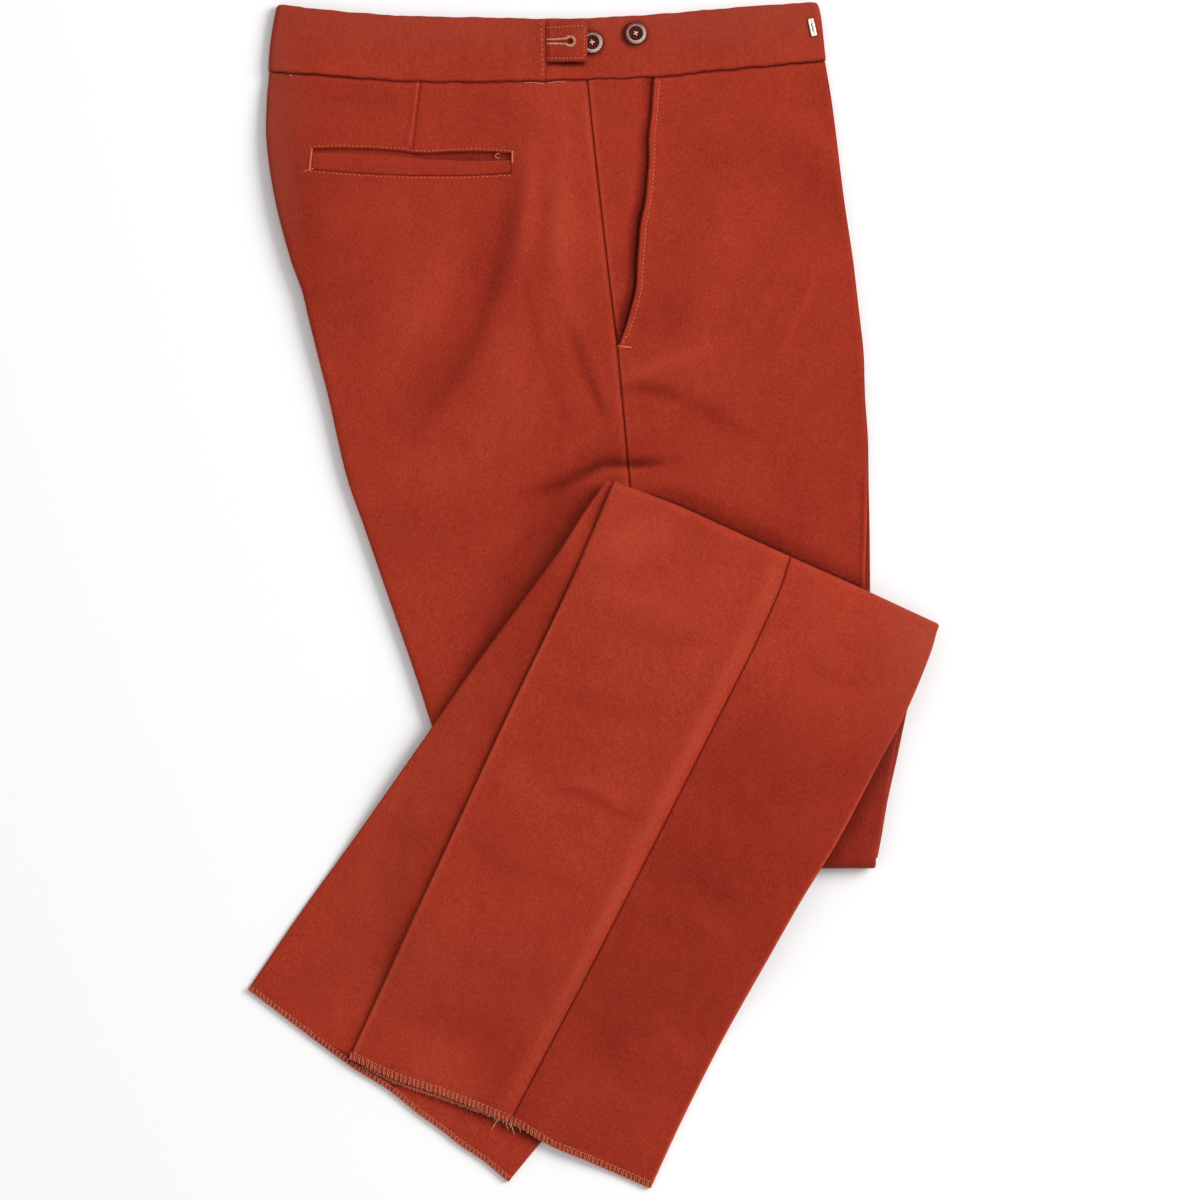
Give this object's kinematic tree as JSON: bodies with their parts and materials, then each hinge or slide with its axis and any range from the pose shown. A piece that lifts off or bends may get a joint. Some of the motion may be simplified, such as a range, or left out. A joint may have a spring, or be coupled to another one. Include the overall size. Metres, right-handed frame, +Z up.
{
  "type": "folded moleskin trousers",
  "caption": "Rust moleskin trousers with side adjusters, a slant pocket and a hip pocket, lying on their side with the legs folded over.",
  "frame": {"origin": "middle of the overall box, on the surface that the trousers lie on", "axes": "+Y towards the waist, +X towards the front of the trousers, +Z up from the surface"},
  "size_m": [0.4696, 0.8075, 0.0235],
  "materials": {
    "moleskin": "brushed cotton moleskin, rust red, matt with a short nap",
    "moleskin_inside": "the same cloth, hidden layers",
    "button_horn": "dark burgundy horn-effect, satin, with a lighter worn rim",
    "bar_nickel": "nickel-plated, satin"
  },
  "bodies": {
    "root": {"right_back": "moleskin", "right_front": "moleskin", "left_back": "moleskin", "left_front": "moleskin", "side_pocket_facing": "moleskin", "hip_pocket_welt": "moleskin", "body_inner_layers": "moleskin_inside", "left_back_knee": "moleskin", "left_front_knee": "moleskin", "knee_inner_layers": "moleskin_inside", "right_back_lower": "moleskin", "right_front_lower": "moleskin", "left_back_lower": "moleskin", "left_front_lower": "moleskin", "waistband_right_back": "moleskin", "waistband_right_front": "moleskin", "waistband_left": "moleskin", "adjuster_tab": "moleskin", "adjuster_button_back": "button_horn", "adjuster_button_front": "button_horn", "waist_bar": "bar_nickel"}
  },
  "joints": []
}
